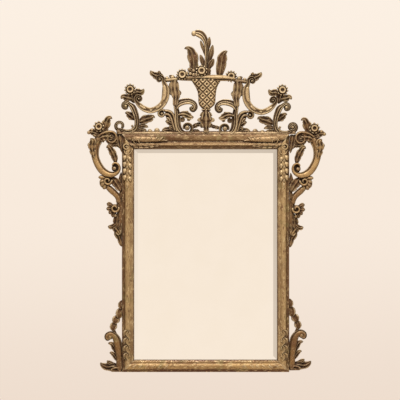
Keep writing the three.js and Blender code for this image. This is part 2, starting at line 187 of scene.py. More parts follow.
# How a band is stepped, in squares, and how blunt and how much lower its ends are
BAND_SPACING, LEAST_RINGS = 0.55, 8
END_BLUNTNESS, END_DROP = 0.05, 0.3


def band(spine, depths=(SCROLL_DEPTH,), shape=ROUND, spacing=BAND_SPACING):
    """Carved band along a spine, with rounded ends and its depth changing along it"""
    path = Path(spine)
    share = np.linspace(0, 1, max(LEAST_RINGS, round(path.length / spacing)))
    middle, aside = path.place(share)
    half = path.half_width(share)
    to_end = np.minimum(share, 1 - share) * path.length / half
    rounding = np.sqrt(np.clip(to_end + END_BLUNTNESS, 0, 1))
    across, height = shape[:, 0], shape[:, 1]
    places = middle[:, None] + aside[:, None] * (across * (half * rounding)[:, None])[..., None]
    rise = (spread(depths, share) - CARVING_BACK) * (1 - END_DROP + END_DROP * rounding)
    depth = CARVING_BACK + height * rise[:, None]
    return ring_shell(placed(places[..., 0], places[..., 1], depth))


# Corners over a leaf's face and back under it, as shares of its half width
HALF_ACROSS = np.array([0.1, 0.22, 0.34, 0.48, 0.64, 0.8, 0.93, 1])
LEAF_ACROSS = np.concatenate([-HALF_ACROSS[::-1], [0], HALF_ACROSS])
LEAF_UNDER = np.array([0.86, 0.4, 0, -0.4, -0.86])
UNDERCUT, EDGE_THINNING = 0.9, 0.45

# Outline of a leaf: its fullness, how its lobes lean and lag, its blunt tip and its steps
LEAF_FULLNESS, TIP_BLUNTNESS = 1.14, 0.04
LOBE_LEAN, LOBE_BEND, LOBE_LAG = 0.35, 1.4, 1.3
LOBE_STEPS, LEAST_STEPS = 8, 14

# Relief of a leaf: heights, and places and widths as shares of its half width
MIDRIB, MIDRIB_WIDTH = 0.0012, 0.12
FLUTE, FLUTE_WAVES = 0.0007, 5
HOLLOW_CUT, HOLLOW_PLACE, HOLLOW_WIDTH = 0.0044, 0.42, 0.22
EYE_CUT, NOTCH_CUT = 0.0026, 0.0020
EDGE_ROLL, EDGE_START, EDGE_WIDTH = 0.0042, 0.8, 0.2

# Half widths from which a leaf is fluted and has its full relief, and the least relief
FLUTED_HALF, FULL_HALF, LEAST_RELIEF = 2, 3.6, 0.3


def leaf_relief(lobe, half):
    """How far a leaf's face stands over or under its mean surface"""
    beside = np.abs(LEAF_ACROSS)[None]
    fluting = np.clip(half / FLUTED_HALF - 1, 0, 1)
    hollow = np.exp(-(((beside - HOLLOW_PLACE) / HOLLOW_WIDTH) ** 2))
    relief = (
        MIDRIB * np.exp(-((beside / MIDRIB_WIDTH) ** 2))
        - FLUTE * fluting * (1 - np.cos(FLUTE_WAVES * math.pi * beside))
        - (HOLLOW_CUT + EYE_CUT * (1 - lobe)) * hollow
        - NOTCH_CUT * (1 - lobe) * beside
        - EDGE_ROLL * np.clip((beside - EDGE_START) / EDGE_WIDTH, 0, 1) ** 2
    )
    return relief * np.clip(half / FULL_HALF, LEAST_RELIEF, 1)


def leaf(spine, lobes=3, depth=LEAF_DEPTH, notch=0.24, base=0.76, thickness=LEAF_THICKNESS):
    """Acanthus leaf along a spine, with sunk eyes between its lobes. Its depth rises from a share of the
    full one at its base."""
    path = Path(spine)
    share = np.linspace(0, 1, max(LEAST_STEPS, LOBE_STEPS * lobes) + 1)[:, None]
    lobe = np.sin(math.pi * (share * lobes % 1) ** LOBE_LAG)
    own_half = path.half_width(share) * LEAF_FULLNESS
    rounding = np.sqrt(np.clip((1 - share) * path.length / own_half, TIP_BLUNTNESS, 1))
    half = own_half * rounding * (1 - notch * (1 - lobe) ** 2)

    def corners(across, narrowing):
        lean = LOBE_LEAN / lobes * np.abs(across) ** LOBE_BEND * (1 - share)
        middle, aside = path.place(np.clip(share + lean, 0, 1))
        return middle + aside * (across * half * narrowing)[..., None]

    front = corners(LEAF_ACROSS[None], 1)
    under = corners(LEAF_UNDER[None], UNDERCUT)
    rise = depth * np.interp(share, [0, 0.45, 0.8, 0.92, 1], [base, 0.5 + 0.5 * base, 0.98, 1, 0.86])
    top = rise + leaf_relief(lobe, own_half)
    low = np.maximum(CARVING_BACK, rise - thickness * (1 - EDGE_THINNING * np.abs(LEAF_UNDER)[None]))
    rings = np.concatenate([
        placed(front[..., 0], front[..., 1], top),
        placed(under[..., 0], under[..., 1], low),
    ], axis=1)
    return ring_shell(rings)


def turned(at, rows, sides):
    """Round solid from rows of (radius, depth), each a number or one for each side"""
    angle = np.linspace(0, 2 * math.pi, sides, endpoint=False)
    rings = [placed(at[0] + r * np.sin(angle), at[1] - r * np.cos(angle), d) for r, d in rows]
    return ring_shell(np.array(rings))


# Ball or berry: share of the radius, share of the height
BOSS_ROWS = [(0.78, 0), (1, 0.34), (1, 0.6), (0.93, 0.76), (0.76, 0.89), (0.5, 0.97), (0.2, 1)]
BOSS_SIDES = 20


def boss(at, radius, depth=BERRY_DEPTH):
    """Ball or berry standing on the wall side"""
    rise = depth - CARVING_BACK
    return turned(at, [(radius * r, CARVING_BACK + rise * h) for r, h in BOSS_ROWS], BOSS_SIDES)


EYE_DISC, EYE_BALL = 0.66, 1.04


def eye(at, radius, ball, depth=SCROLL_DEPTH):
    """Middle of a volute: a sunk disc with a ball on it"""
    return [boss(at, radius, depth * EYE_DISC), boss(at, ball, depth * EYE_BALL)]


# Daisy: shares of its radius and depth, and how far its petals are notched and ridged there
FLOWER_ROWS = [
    (0.6, 0.12, 0, 0), (0.84, 0.34, 0.3, 0), (1, 0.5, 1, 0), (0.98, 0.6, 0.98, 0.6),
    (0.88, 0.71, 0.6, 1.3), (0.76, 0.72, 0.2, 1.5), (0.68, 0.62, 0, 0.9), (0.62, 0.6, 0, 0),
    (0.58, 0.84, 0, 0), (0.50, 0.98, 0, 0), (0.38, 0.97, 0, 0), (0.29, 0.9, 0, 0), (0.23, 0.78, 0, 0),
    (0.12, 0.76, 0, 0),
]
PETAL_SIDES, PETAL_BLUNTNESS = 8, 0.7
PETAL_NOTCH, PETAL_RIDGE, PETAL_MEAN = 0.34, 0.1, 0.6


def flower(at, radius, depth=FLOWER_DEPTH, petals=9):
    """Daisy with notched petals round a raised ring with a hole in it"""
    sides = PETAL_SIDES * petals
    angle = np.linspace(0, 2 * math.pi, sides, endpoint=False)
    petal = np.abs(np.cos(petals * angle / 2)) ** PETAL_BLUNTNESS
    rows = []
    for r, h, cut, ridge in FLOWER_ROWS:
        notched = r * (1 - PETAL_NOTCH * cut * (1 - petal))
        ridged = h + PETAL_RIDGE * ridge * (petal - PETAL_MEAN)
        rows.append((radius * notched, depth * ridged))
    return turned(at, rows, sides)


TURN_STEPS = 9


def curl(centre, start, turns, end_radius, halves):
    """Spiral from a start in round a centre, from one half width to another. Positive turns are clockwise."""
    du, dv = start[0] - centre[0], start[1] - centre[1]
    radius, angle = math.hypot(du, dv), math.atan2(dv, du)
    count = round(abs(turns) * TURN_STEPS)
    places = []
    for step in range(count + 1):
        share = step / count
        r = radius + (end_radius - radius) * share
        a = angle + 2 * math.pi * turns * share
        half = halves[0] + (halves[1] - halves[0]) * share
        places.append((centre[0] + r * math.cos(a), centre[1] + r * math.sin(a), half))
    return places


def flat(parts):
    """Single list of shells from nested lists of them"""
    return [part for item in parts for part in (flat(item) if isinstance(item, list) else [item])]


def right_hand(parts, stray_u=0.0, stray_v=0.0):
    """Mirror image of shells, strayed by so many squares from a true one"""
    stray = np.array([stray_u * SQUARE, 0, -stray_v * SQUARE])
    return [(points * [-1, 1, 1] + stray, faces[:, ::-1]) for points, faces in flat(parts)]


# Joining

def mesh_object(name, points, faces):
    mesh = bpy.data.meshes.new(name)
    mesh.from_pydata(points.tolist(), [], faces.tolist())
    made = bpy.data.objects.new(name, mesh)
    scene.collection.objects.link(made)
    return made


def combine(base, others, operation):
    """The base solid joined with, or kept only inside, the other solids"""
    operands = bpy.data.collections.new("operands")
    scene.collection.children.link(operands)
    for other in others:
        scene.collection.objects.unlink(other)
        operands.objects.link(other)
    step = base.modifiers.new("combine", "BOOLEAN")
    step.operation = operation
    step.solver = "MANIFOLD"
    step.operand_type = "COLLECTION"
    step.collection = operands
    bpy.context.view_layer.objects.active = base
    bpy.ops.object.modifier_apply(modifier=step.name)
    for other in others:
        bpy.data.objects.remove(other)
    bpy.data.collections.remove(operands)
    return base


LEAST_SOLID = 60


def without_pockets(mesh):
    """Takes out the shut pockets that a union leaves inside, known by their few vertices"""
    shape = bmesh.new()
    shape.from_mesh(mesh)
    seen, inside = set(), []
    for start in shape.verts:
        if start in seen:
            continue
        seen.add(start)
        island = [start]
        for vert in island:
            for edge in vert.link_edges:
                other = edge.other_vert(vert)
                if other not in seen:
                    seen.add(other)
                    island.append(other)
        if len(island) < LEAST_SOLID:
            inside += island
    bmesh.ops.delete(shape, geom=inside, context="VERTS")
    shape.to_mesh(mesh)
    shape.free()


def carving(name, shells, low=None, high=None):
    """One closed solid from nested lists of shells, trimmed to a box if one is given"""
    solids = [mesh_object(f"{name}_{k}", *shell) for k, shell in enumerate(flat(shells))]
    made = combine(solids[0], solids[1:], "UNION")
    if low is not None:
        made = combine(made, [mesh_object("trim", *box_shell(low, high))], "INTERSECT")
    without_pockets(made.data)
    made.name = made.data.name = name
    return made


def box_shell(low, high):
    ends = (low, high)
    corners = [(0, 0), (1, 0), (1, 1), (0, 1)]
    rings = [[(ends[i][0], ends[k][1], ends[j][2]) for i, j in corners] for k in (0, 1)]
    return ring_shell(np.array(rings, float))


# Crest

def plume():
    """Ostrich feather: ribbed shaft with a hooked end, and barbs on both sides"""
    shaft = [
        (205, 77, 1.6), (206.2, 67, 1.9), (206.9, 59, 2.2), (207, 52, 2.3), (206.6, 46, 2.4),
        (205.6, 41, 2.7), (203.4, 36.6, 3.5), (200.2, 33.8, 3.9), (196.6, 32.8, 3.5), (193.4, 33.2, 2.9),
    ]
    barbs = [
        [(207.4, 52, 1.8), (208.6, 44.6, 1.9), (209.5, 36.8, 0.6)],
        [(207.8, 66, 2.2), (210.4, 55.6, 2.5), (212.9, 44.8, 0.7)],
        [(206.6, 73, 1.8), (210.2, 65.4, 2.6), (213.9, 58.6, 0.8)],
        [(205.8, 58, 1.2), (203.8, 50.4, 1.5), (201.9, 45, 1.3), (200.4, 40.4, 0.6)],
        [(204.8, 71, 1.6), (202.9, 63.4, 2.1), (201.6, 58.6, 1.6), (200.1, 54.6, 0.7)],
    ]
    return [
        band(shaft, [LEAF_DEPTH, SCROLL_DEPTH, SCROLL_DEPTH, SCROLL_DEPTH * 1.05], mirrored(STEPPED)),
        boss((194, 33.3), 2.7, SCROLL_DEPTH),
        [leaf(barb, 1, LEAF_DEPTH * 1.06, 0.1) for barb in barbs],
    ]


def basket_leaves():
    left = [
        (194, 77, 3.4), (193.8, 69, 3.9), (193.7, 62.6, 4.7), (192.7, 56.4, 4.9), (191.3, 51.8, 3.7),
        (189.4, 49, 2.5), (187, 47.9, 1.5), (184.3, 48.7, 0.8),
    ]
    right = [
        (219.4, 79, 3.6), (219.8, 73, 4.1), (221, 66, 4.7), (221.9, 60, 4.7), (222.9, 56, 3.5),
        (224.5, 52.8, 2.1), (227.6, 51, 0.9),
    ]
    return [leaf(left, 3, notch=0.13, base=0.86), leaf(right, 2, LEAF_DEPTH * 1.08, 0.13, 0.96)]


# Outlines of the basket as (v, u). Its face stands out most a little right of its middle.
BASKET_LEFT = [
    (79, 190.6), (83, 193), (88, 196), (92, 197.6), (97, 198.3), (102, 198.3), (105, 199), (108, 201.4),
    (110, 205),
]
BASKET_RIGHT = [
    (79, 221.6), (82, 220), (85, 218), (90, 216.4), (96, 215.7), (102, 215.4), (105, 214.4), (108, 211),
    (110, 207.4),
]
BASKET_TOP, BASKET_FOOT = 79, 110
BASKET_ROWS, BASKET_COLUMNS = 110, 96
BASKET_CREST, BASKET_BULGE = 0.3, 0.94
EDGE_DEPTH = 0.016
FOOT_BLUNTNESS, FOOT_ROUNDING, FOOT_DROP = 0.6, 6, 0.45

# Lattice: squares between crossings, and its grooves and eyes as shares of that and of the cut
LATTICE_PITCH = 8.0
LATTICE_CROSSING = (206.8, 88.2)
LATTICE_CUT = 0.0062
GROOVE_WIDTH, GROOVE_SHARE = 0.1, 0.8
EYE_WIDTH, EYE_SHARE = 0.15, 1.2


def lattice(u, v):
    """How far the basket's grooves and eyes are cut in"""
    du, dv = u - LATTICE_CROSSING[0], v - LATTICE_CROSSING[1]
    one, other = (du + dv) / LATTICE_PITCH, (du - dv) / LATTICE_PITCH
    from_groove = np.minimum(np.abs(one - np.round(one)), np.abs(other - np.round(other)))
    groove = GROOVE_SHARE * np.exp(-((from_groove / GROOVE_WIDTH) ** 2))
    from_eye = np.hypot(one % 1 - 0.5, other % 1 - 0.5)
    return LATTICE_CUT * np.maximum(groove, EYE_SHARE * np.exp(-((from_eye / EYE_WIDTH) ** 2)))


def basket():
    """Tapered basket cut with a lattice of grooves, an eye in each diamond, round at its lower end"""
    v = np.linspace(BASKET_TOP, BASKET_FOOT, BASKET_ROWS)[:, None]
    t = np.linspace(-1, 1, BASKET_COLUMNS)[None]
    left = np.interp(v, *zip(*BASKET_LEFT))
    right = np.interp(v, *zip(*BASKET_RIGHT))
    middle, half = (left + right) / 2, (right - left) / 2
    u = middle + t * half
    from_crest = (t - BASKET_CREST) / np.where(t < BASKET_CREST, 1 + BASKET_CREST, 1 - BASKET_CREST)
    bulge = np.sqrt(np.clip(1 - (BASKET_BULGE * from_crest) ** 2, 0, 1))
    foot = np.sqrt(np.clip((BASKET_FOOT + FOOT_BLUNTNESS - v) / FOOT_ROUNDING, 0, 1))
    depth = EDGE_DEPTH + (BASKET_DEPTH - EDGE_DEPTH) * bulge * (1 - FOOT_DROP + FOOT_DROP * foot)
    front = placed(u, v, depth - lattice(u, v))
    back = placed(middle + np.array([0.9, 0.3, -0.3, -0.9])[None] * half, v, CARVING_BACK)
    return ring_shell(np.concatenate([front, back], axis=1))


def rim():
    """Moulded rim of the basket, which swells forward in the middle, and its two bare ends"""
    moulding = section([
        (-0.9, 0), (-1, 0.4), (-1, 0.7), (-0.82, 0.82), (-0.6, 0.74), (-0.45, 0.72), (-0.3, 0.92), (0.1, 1),
        (0.45, 0.94), (0.7, 0.78), (0.84, 0.74), (1, 0.6), (1, 0.3), (0.9, 0),
    ], 28)
    return band(
        [(175, 77.8, 2), (190, 77.8, 2.9), (206.4, 77.8, 3.1), (222, 78, 2.9), (236.5, 79, 2)],
        [RIM_DEPTH * share for share in (0.44, 0.46, 0.48, 0.6, 0.9, 0.9, 0.6)],
        mirrored(moulding),
        spacing=0.8,
    )


def pendant():
    """Palmette that hangs under the basket, with a leaf to each side"""
    palmette = [
        (206, 108.6, 4), (206, 113, 5.4), (206, 117, 7.4), (206, 120.6, 7.4), (206, 124, 4.4),
        (206.2, 128.4, 3), (206.2, 134, 1.4),
    ]
    flutes = [
        [(top, 111.6, 0.9), ((top + end) / 2, 116, 1.4), (end, foot, 0.8)]
        for top, end, foot in [(206, 206.2, 129), (203.4, 201.6, 120.6), (208.6, 210.6, 120.6)]
    ]
    low_leaves = [
        [(203, 124.2, 1.6), (198, 124.4, 2.2), (193.6, 126.4, 2), (190, 127.8, 1.2)],
        [(210, 125.6, 1.4), (214, 126.6, 1.8), (218, 127.6, 1.6), (222, 128.4, 1.1)],
    ]
    return [
        band([(201.4, 109.8, 1.1), (206, 109.4, 1.3), (210.8, 109.8, 1.1)]),
        leaf(palmette, 4, SCROLL_DEPTH * 1.1, 0.34, 0.95),
        [band(line, [SCROLL_DEPTH * 1.12]) for line in flutes],
        leaf([(204.6, 122, 2), (202.4, 125, 2.3), (201, 127.8, 1.2)], 1),
        leaf([(207.6, 122, 2), (210, 125, 2.3), (212, 127.4, 1.2)], 1),
        [leaf(line, 3, LEAF_DEPTH * 0.8) for line in low_leaves],
        leaf([(200, 134, 1.6), (197, 130.8, 1.8), (192.4, 131, 1.2)], 2, LEAF_DEPTH * 0.8),
    ]


def posies():
    """Flowers and buds on the rim"""
    buds = [(189.4, 69.4), (193.4, 70.6), (196.4, 74.6), (190.4, 73.6), (193.6, 74.6), (186.6, 73)]
    return [
        flower((201.6, 70.6), 6.4, FLOWER_DEPTH * 1.06, 10),
        flower((182.2, 74.5), 6.2, petals=12),
        flower((231.2, 76.2), 6.2, petals=12),
        [boss(at, 2, LEAF_DEPTH) for at in buds],
        leaf([(196, 77, 2), (192, 72, 2.6), (188.4, 68, 1.2)], 2),
        leaf([(206.6, 77, 1.8), (208.6, 72.4, 2.2), (209.2, 67.8, 1)], 2),
    ]


def c_scroll():
    spine = [
        *reversed(curl((159.8, 79.4), (163.4, 81.6), -0.85, 1.8, (1.8, 1))),
        (165.4, 86.5, 2.9), (166.1, 92, 3.4), (165.4, 98, 3.5), (162.4, 104, 3.3), (157, 108.4, 3.1),
        (150.3, 110.4, 2.9), (144.2, 108.6, 2.9), (139.8, 105.4, 2.5),
        *curl((138.8, 98.9), (136.4, 101.9), 1, 1.6, (1.7, 0.9)),
    ]
    pads = [
        [(139, 104.6, 1.7), (142.6, 107.3, 2.3), (146.9, 109, 2.1)],
        [(148.6, 109.8, 2.1), (151, 110.1, 2.3), (153.2, 109.6, 2.1)],
        [(154.9, 108.8, 2.1), (158.8, 106.4, 2.4), (161.7, 103.2, 2.1)],
        [(162.9, 101.2, 2), (164.3, 96, 2.7), (164.8, 90, 2.7), (164.2, 84.4, 1.8)],
    ]
    return [
        band(spine, [C_DEPTH], HOLLOW),
        eye((159.7, 79.3), 2.4, 1.6),
        eye((138.8, 98.9), 2.4, 1.5),
        [band(pad, [C_DEPTH * 0.97]) for pad in pads],
        leaf([(164.6, 80.4, 2.6), (160, 77, 3.6), (155.8, 75.4, 3.2), (152.2, 73.4, 2.2), (150.2, 70.6, 0.8)],
             3, C_DEPTH * 0.94),
        leaf([(162, 77.6, 2.2), (159.8, 74.2, 1.9), (158.7, 70.6, 0.8)], 2, C_DEPTH * 0.94),
        band(curl((161.8, 113.6), (165, 110.9), -0.9, 2.2, (1.4, 0.9))),
        eye((161.8, 113.6), 2.6, 1.5, SCROLL_DEPTH * 0.94),
    ]


def outer_scroll():
    spine = [
        *reversed(curl((125.7, 106), (129.4, 103.9), -0.85, 2.1, (1.9, 0.9))),
        (132.6, 107, 3), (135, 112.4, 3), (136.6, 118, 2.7), (136.9, 124, 2.6), (135.4, 129, 2.9),
        (131, 131.8, 3), (125.8, 132, 2.7),
        *curl((119.6, 125.7), (121, 129.8), 0.95, 2.9, (1.9, 1.5)),
    ]
    broad_leaves = [
        [(136.4, 120.6, 2), (132.8, 117.2, 3.7), (129.4, 114.8, 2.9), (127, 113, 1.6), (124.9, 113.2, 0.8)],
        [(136.8, 123.4, 2.2), (141.4, 120.9, 3.9), (146, 119, 4), (150.2, 118, 3.1), (152.8, 116.7, 1.7),
         (154.9, 117.8, 0.9)],
    ]
    return [
        band(spine, shape=RIBBED),
        eye((125.6, 106), 2.8, 1.9),
        [leaf(line, 2, notch=0.15) for line in broad_leaves],
        leaf([(137.6, 127, 1.8), (142, 125.8, 2.3), (145.6, 126.2, 1.5), (148.3, 127.2, 0.7)], 2),
        leaf([(136.6, 131, 2), (141.6, 129.9, 1.9), (146.6, 130.4, 1.1)], 2),
        band([(117.2, 128.6, 1.8), (119.4, 132.4, 3), (122, 137, 3.6)], [SCROLL_DEPTH * 0.98], SMOOTH),
        boss((132.1, 125.8), 1.2),
        band([(132.2, 126, 0.9), (132.8, 129, 1.2), (131.6, 132, 1.5)], [LEAF_DEPTH]),
    ]


def flower_spray():
    side_leaves = [
        [(131.6, 94, 2.6), (136.6, 92, 3.4), (140.6, 92.2, 2.9), (143, 90.6, 1.5), (143.6, 88.6, 0.7)],
        [(132, 98.4, 2.8), (127, 97.6, 3.4), (123.2, 96.7, 2.2), (120.7, 98.6, 1)],
    ]
    return [
        flower((130.1, 89.3), 6.1, petals=11),
        leaf([(134, 103, 2.2), (132.4, 98, 4.2), (130.6, 92, 3.4)], 2, LEAF_DEPTH * 0.8, 0.15),
        [leaf(line, 2, notch=0.15) for line in side_leaves],
    ]


def inner_scroll():
    """Arch that springs from the leafy stem and curls over, with a smaller curl below"""
    arch = [
        (175.4, 110, 1.8), (176.8, 105.8, 2.7), (180.4, 102.6, 3.3), (185.4, 101.2, 3.2), (190.4, 101.4, 2.9),
        (194.6, 103.8, 2.3), (195.7, 107.8, 1.9), (193.2, 110.7, 1.5), (190.5, 109.2, 1.2),
        (190.9, 106.4, 1.1),
    ]
    stem = [
        (175.2, 104, 2), (176.6, 110, 2.6), (177.4, 116, 3), (177.6, 122, 3.2), (178.6, 127.6, 3.1),
        (181.8, 131.8, 2.5), *curl((187, 127.8), (187.4, 133.4), -0.8, 3.2, (1.8, 1.1)),
    ]
    teeth = [
        [(174.4, 129.6, 1.6), (172, 124.6, 2.6), (168.8, 121.8, 2.5), (165.2, 121.2, 1)],
        [(175.6, 132, 1.6), (172.6, 128.2, 2.1), (168.4, 126.8, 0.9)],
        [(176.6, 133, 2), (171.4, 130, 2.8), (166, 129.6, 2.3), (161.6, 131.5, 1)],
        [(176.6, 134.4, 1.4), (170, 133.4, 1.7), (163.6, 133.8, 1)],
    ]
    folds = [
        [(163.6, 110.8, 1.3), (168, 110.9, 1.6), (172, 113.2, 1.6), (174.2, 118, 1.4), (175.4, 125, 1.3),
         (176.8, 132, 1.2)],
        [(163.8, 114.4, 1.2), (168.2, 114.5, 1.6), (170.9, 118, 1.6), (172.6, 123.4, 1.4), (175, 131, 1.1)],
        [(166, 117.8, 0.9), (168.6, 118.4, 1.3), (170.6, 121.6, 1.1)],
    ]
    behind = [(176.6, 132, 2.6), (172.6, 122, 4.4), (169, 115.6, 3.6), (165, 112.6, 2.2)]
    hanging_leaf = [
        (175.4, 79, 3.8), (174.6, 85, 4), (175, 91, 4.2), (176, 96, 3.4), (175.6, 101, 2.5), (174.8, 107, 2),
    ]
    inner_leaf = [
        (178, 114.8, 2.6), (182.4, 114, 3), (186.8, 114.8, 3.4), (190.4, 117, 2.2), (193.8, 117, 0.8),
    ]
    side_band = [(172.4, 81, 1.4), (170.3, 84.6, 1.5), (169.7, 89.6, 1.5), (170.8, 94.8, 1.2)]
    return [
        band(stem, shape=STEPPED),
        band(arch, [SCROLL_DEPTH * 1.06], STEPPED),
        boss((193.1, 107.1), 2.1, SCROLL_DEPTH * 0.92),
        boss((187.1, 127.6), 2.7, SCROLL_DEPTH * 0.9),
        band(behind, [LEAF_DEPTH * 0.55]),
        [leaf(line, 2, notch=0.15) for line in teeth],
        [band(line, [LEAF_DEPTH * 1.02]) for line in folds],
        leaf(hanging_leaf, 3, LEAF_DEPTH * 1.15, 0.13, 0.97),
        leaf([(176.2, 88, 1.8), (178.4, 91.6, 2.3), (179.4, 96, 1.2)], 1, LEAF_DEPTH * 1.04),
        band(side_band, [SCROLL_DEPTH * 0.92]),
        leaf(inner_leaf, 2, LEAF_DEPTH * 1.14, 0.2, 0.95),
        leaf([(184, 114.6, 1.6), (186.2, 113, 1.6), (188.2, 111, 0.8)], 1, LEAF_DEPTH * 1.04),
        leaf([(188, 117, 1.6), (189, 119, 1.5), (187, 120.4, 0.8)], 1, LEAF_DEPTH),
        boss((182.4, 119.4), 2.6, LEAF_DEPTH * 0.55),
    ]


def rim_end():
    return [
        band([(178, 79, 2.2), (170, 79.6, 2), (162, 80.6, 2)], [LEAF_DEPTH]),
        boss((172.4, 77.2), 2.4),
        boss((166.9, 78.2), 2),
        leaf([(176, 80, 1.8), (172.6, 77.4, 2), (169, 75.4, 0.9)], 2, LEAF_DEPTH * 0.9),
    ]


def rail_berries():
    return [boss((149.8, 131.4), 2.5, LEAF_DEPTH * 0.92), boss((156.9, 130.5), 2.8, LEAF_DEPTH * 0.92)]


# Each side group of the crest, and how far its right-hand copy strays from a mirror image
CREST_GROUPS = [
    (c_scroll, 0.6, 1.6), (outer_scroll, 1, 1.4), (flower_spray, 1.4, 0.6), (inner_scroll, 1, 1),
    (rim_end, 0.4, 1.4), (rail_berries, 1, 0.9),
]
CREST_SOLE = [(117.6, 133.4, 2.5), (293.4, 133.4, 2.5)]
SOLE_SPACING = 4

# Ball that only the right-hand outer scroll has in its lower curl
RIGHT_HOOK = [boss((119.6, 125.7), 2.2, SCROLL_DEPTH)]


def crest():
    middle = [plume(), basket_leaves(), basket(), rim(), pendant(), posies()]
    sole = band(CREST_SOLE, [LEAF_DEPTH], spacing=SOLE_SPACING)
    hook = right_hand(RIGHT_HOOK, *CREST_GROUPS[1][1:])
    sides = [[group(), right_hand(group(), *stray)] for group, *stray in CREST_GROUPS]
    shells = [middle, sides, sole, hook]
    return carving("crest_carving", shells, (-1, -1, FRAME_TOP + GAP), (1, 0, 1))


# Ears and feet

def ear_scroll():
    spine = [
        (101.6, 137.4, 3.2), (98.2, 140.2, 4.3), (95.5, 145.4, 4.3), (94.7, 152, 4), (95.7, 158.6, 3.7),
        (98.6, 165.4, 3.8), (102.8, 171, 3.8), (108.2, 174.1, 3.4), (113.6, 174.2, 2.6), (117.9, 171.6, 1.8),
        (119.2, 167.6, 1.4), (117.6, 164, 1.2), (114.2, 163.2, 1.1), (112, 165.6, 1),
    ]
    volute = [
        (97.6, 137.2, 0.9), (100.6, 134.4, 1.2), (104.4, 132.5, 1.3),
        *curl((110.9, 138), (108.2, 131.6), 1.15, 1.5, (1.3, 0.8)),
    ]
    outer_leaf = [
        (94.6, 158, 2), (92.6, 151.6, 3), (92, 145.8, 3.6), (92.6, 141.2, 3), (90.6, 138.2, 1.3),
    ]
    top_leaf = [
        (97, 141.6, 2.6), (100.4, 137.8, 3.9), (105, 136.2, 4.1), (109.6, 137, 3.4), (113.4, 139, 1.6),
    ]
    inner_leaf = [
        (115.8, 164, 2), (114.4, 157, 3.2), (111.6, 150.8, 3), (108.8, 147, 2.2), (106.2, 147.8, 1),
    ]
    stile_leaf = [(121.8, 152.6, 1.5), (121.4, 147, 2.9), (120.4, 141, 3.2), (119.4, 134.4, 3)]
    under_leaf = [(120.6, 149, 1.4), (117.4, 145, 2.1), (112.4, 145, 1.9), (107.6, 144.6, 1.2)]
    ruffle = [
        [(101.6, 137, 1.6), (102.6, 139.6, 2), (103.4, 142.4, 1)],
        [(105.4, 136.6, 1.4), (106.4, 138.6, 1.6), (106.8, 140.8, 0.9)],
    ]
    fillers = [(117.4, 136.3), (120.3, 136.2), (117.4, 141.4)]
    return [
        band(spine, [SCROLL_DEPTH * 0.78, SCROLL_DEPTH * 1.02, C_DEPTH, C_DEPTH], SMOOTH),
        boss((111.2, 138.5), 6.2, SCROLL_DEPTH * 0.72),
        band(volute, [SCROLL_DEPTH * 0.9, SCROLL_DEPTH * 1.05, SCROLL_DEPTH * 0.9]),
        leaf(top_leaf, 4, SCROLL_DEPTH * 0.9, 0.2, 0.97),
        [leaf(line, 1, SCROLL_DEPTH * 0.86) for line in ruffle],
        boss((115.4, 168), 4, SCROLL_DEPTH * 0.62),
        boss((114.4, 168.4), 2.1, SCROLL_DEPTH * 0.98),
        leaf(outer_leaf, 3, C_DEPTH * 1.08, 0.3, 0.97),
        leaf([(93, 144, 1.6), (90.2, 144.4, 1.9), (87.4, 145.6, 0.9)], 1, SCROLL_DEPTH * 0.9),
        leaf(inner_leaf, 3, notch=0.18),
        leaf(stile_leaf, 2, SCROLL_DEPTH, 0.15, 0.9),
        leaf(under_leaf, 2, LEAF_DEPTH * 0.9),
        [boss(at, 2.6, LEAF_DEPTH * 0.8) for at in fillers],
    ]


def ear_spray():
    upper_leaf = [
        (101.6, 136, 2.6), (103.8, 129.4, 4), (106, 123.6, 4), (107.6, 119.6, 3), (109.6, 117.5, 1.7),
        (112.2, 118.6, 0.9),
    ]
    return [
        flower((98.7, 126.6), 5.9),
        boss((88.8, 132.4), 1.9, LEAF_DEPTH),
        boss((91.8, 129.8), 1.7, LEAF_DEPTH),
        leaf([(99, 138, 3.2), (98.6, 132, 4.4), (98.6, 127, 3.2)], 2, LEAF_DEPTH * 0.8, 0.15),
        leaf(upper_leaf, 3, notch=0.2),
        leaf([(99.4, 135, 2.6), (95, 133, 3.2), (91, 131.8, 2.6), (88.4, 132.6, 1.4)], 2, notch=0.2),
        leaf([(98, 137, 1.6), (95.6, 135.6, 1.9), (93.2, 136.2, 1)], 1),
    ]


def ear_shell():
    """Fan of lobes round a curled eye, with the stem that runs down to the rosette"""
    fan = [
        [(108, 178.6, 1.4), (102, 177.4, 2.1), (98.2, 177.2, 1.9)],
        [(107, 180, 1.2), (102.4, 181, 2.2), (99.4, 181.4, 2.4)],
        [(107, 181, 1.2), (102.8, 184.2, 2.3), (100.4, 185.6, 2.5)],
        [(107.4, 182, 1.2), (104.4, 187, 2.3), (103.2, 189.2, 2.5)],
        [(108.4, 182, 1.2), (108, 188, 2.3), (107.8, 190.6, 2.5)],
    ]
    curled = [(112.6, 179.6, 1.2), *curl((107.6, 180.8), (110.6, 183), 1.1, 1, (1.3, 0.8))]
    return [
        band(curled, [FLOWER_DEPTH]),
        boss((107.8, 181), 3.4, SCROLL_DEPTH * 0.8),
        [band(line, [LEAF_DEPTH * 0.8, LEAF_DEPTH, LEAF_DEPTH * 0.96]) for line in fan],
        boss((104.6, 183), 5.4, LEAF_DEPTH * 0.55),
        boss((109.8, 177.8), 2.8, LEAF_DEPTH * 0.6),
        leaf([(110.6, 176, 2.6), (114.4, 180.6, 4.1), (118, 185.4, 3.8), (121, 191.4, 1.8)], 2, notch=0.15),
        leaf([(121, 172, 1.6), (120.6, 180, 2), (121, 190, 1.8), (120.6, 200, 1.6)], 3, LEAF_DEPTH * 0.9),
        band([(107.4, 186, 2.6), (111, 190, 3.2), (114.6, 193.2, 3.1), (117.8, 197, 3), (120, 204, 2.6)],
             [LEAF_DEPTH], SMOOTH),
    ]


